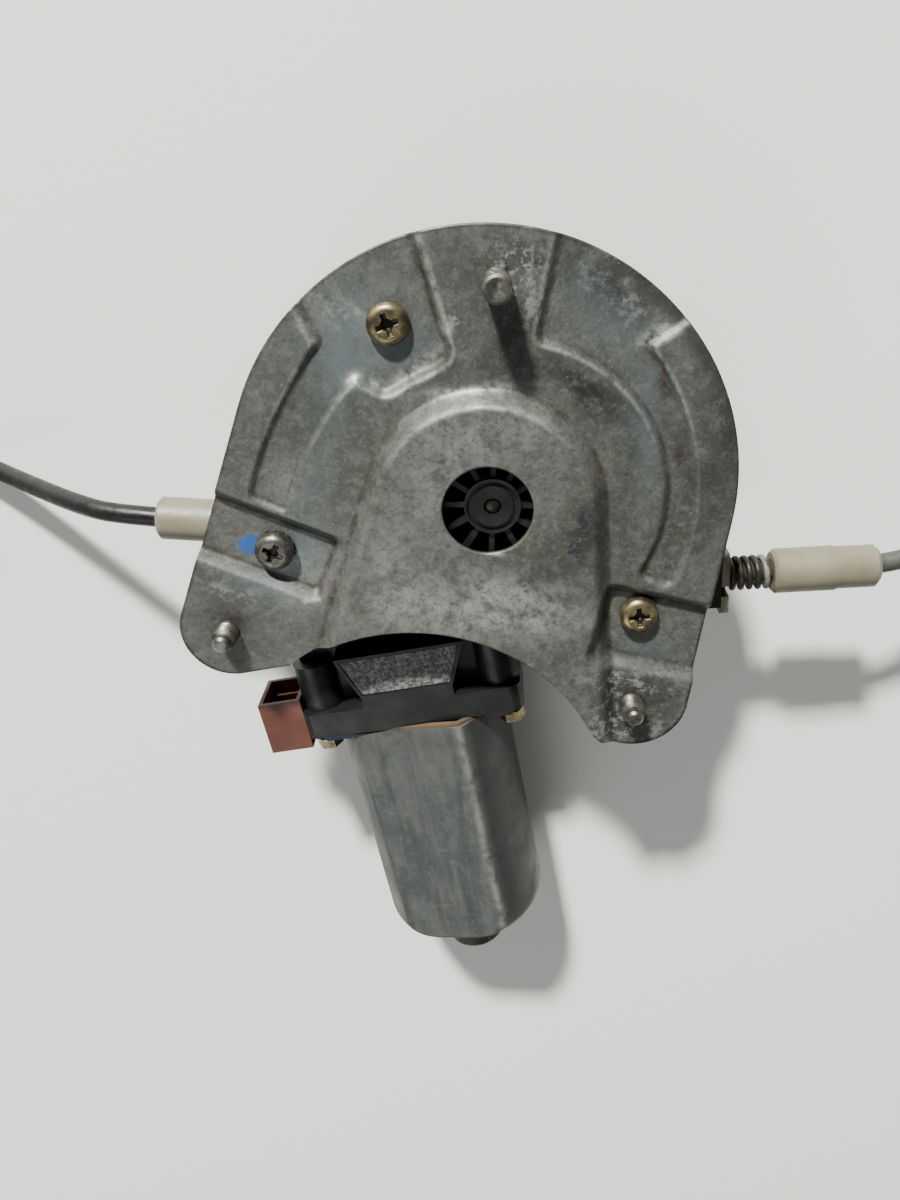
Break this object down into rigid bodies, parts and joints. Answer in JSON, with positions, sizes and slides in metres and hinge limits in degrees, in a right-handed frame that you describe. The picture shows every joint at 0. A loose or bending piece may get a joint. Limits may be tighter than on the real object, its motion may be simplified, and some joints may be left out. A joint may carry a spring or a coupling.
{
  "type": "window regulator",
  "caption": "Cable window regulator drive: pressed cover plate on studs over a moulded gear housing with cable drum, worm gear motor, connector and a conduit on each side",
  "frame": {"origin": "the drum's axis where it crosses the plane that the studs stand on", "axes": "+Z points out of the unit along the studs, away from the surface it lies on; the top stud lies along +Y from the drum; the motor lies along -Y, turned a little to +X"},
  "size_m": [0.457, 0.2184, 0.059],
  "materials": {
    "galvanised_plate": "dull galvanised pressing, mottled and dirty",
    "black_moulding": "satin black glass-filled moulding",
    "steel": "bright zinc plated steel",
    "yellow_zinc": "yellow passivated zinc",
    "natural_nylon": "natural moulded nylon",
    "soft_rubber": "soft black rubber",
    "laminated_iron": "stacked iron laminations",
    "copper": "enamelled copper and copper strip",
    "sintered_bronze": "oiled sintered bronze",
    "can_steel": "dull drawn steel, streaked along its length",
    "ferrite": "dark ferrite",
    "brush_carbon": "pressed carbon",
    "spring_steel": "dark brown oily spring wire",
    "gasket_board": "tan gasket board",
    "red_brown_moulding": "red-brown moulding",
    "cream_moulding": "cream acetal, a little dirty",
    "cable_wire": "stranded steel wire",
    "black_conduit": "smooth black outer casing",
    "grey_conduit": "smooth grey outer casing",
    "tie_band": "black plastic band"
  },
  "bodies": {
    "base": {"brush_1": "brush_carbon", "brush_2": "brush_carbon", "brush_card": "black_moulding", "brush_spring_1": "spring_steel", "brush_spring_2": "spring_steel", "can_end_bush": "sintered_bronze", "coil_left": "black_conduit", "coil_tie_left": "tie_band", "conduit_left": "black_conduit", "connector_shell": "red_brown_moulding", "cover_plate": "galvanised_plate", "cover_screw_left": "steel", "cover_screw_right": "yellow_zinc", "cover_screw_top": "yellow_zinc", "drum_axle": "steel", "end_cap_left": "cream_moulding", "front_bush": "sintered_bronze", "gear_cover": "black_moulding", "gear_housing": "black_moulding", "inner_wire_left": "cable_wire", "inner_wire_right": "cable_wire", "left_ferrule": "cream_moulding", "magnet_1": "ferrite", "magnet_2": "ferrite", "motor_can": "can_steel", "motor_gasket": "gasket_board", "motor_screw_1": "yellow_zinc", "motor_screw_2": "yellow_zinc", "motor_screw_3": "yellow_zinc", "motor_screw_4": "yellow_zinc", "rear_bush": "sintered_bronze", "right_seat": "cream_moulding", "star_washer": "steel", "stud_left": "steel", "stud_right": "steel", "stud_top": "steel", "tail_left": "black_conduit", "tension_spring": "spring_steel", "terminal_1": "copper", "terminal_2": "copper", "thrust_ball": "steel", "wire_end_left": "cable_wire"},
    "drum": {"cable_drum": "black_moulding", "cable_winding": "cable_wire", "worm_wheel": "natural_nylon", "damper": "soft_rubber"},
    "armature": {"worm": "steel", "armature_shaft": "steel", "armature_core": "laminated_iron", "armature_winding": "copper", "commutator": "copper"},
    "tensioner": {"adjuster": "cream_moulding", "conduit_right": "grey_conduit", "coil_right": "grey_conduit", "coil_tie_right": "tie_band", "tail_right": "grey_conduit", "end_cap_right": "cream_moulding", "wire_end_right": "cable_wire"}
  },
  "joints": [
    {"name": "drum_spin", "type": "hinge", "parent": "base", "child": "drum", "pos_m": [0, 0, 0], "axis": [0, 0, 1], "range_deg": [-540, 540]},
    {"name": "armature_spin", "type": "hinge", "parent": "base", "child": "armature", "pos_m": [-0.03149, -0.00624, -0.025], "axis": [0.1942, -0.981, 0], "range_deg": [-23760, 23760]},
    {"name": "tensioner_slide", "type": "slide", "parent": "base", "child": "tensioner", "axis": [0.9968, 0.0802, 0], "range_m": [-0.0024, 0], "stiffness_N_per_m": 2000, "deforming": ["tension_spring"]}
  ],
  "couplings": [
    {"joint": "armature_spin", "follows": "drum_spin", "ratio": -44}
  ]
}
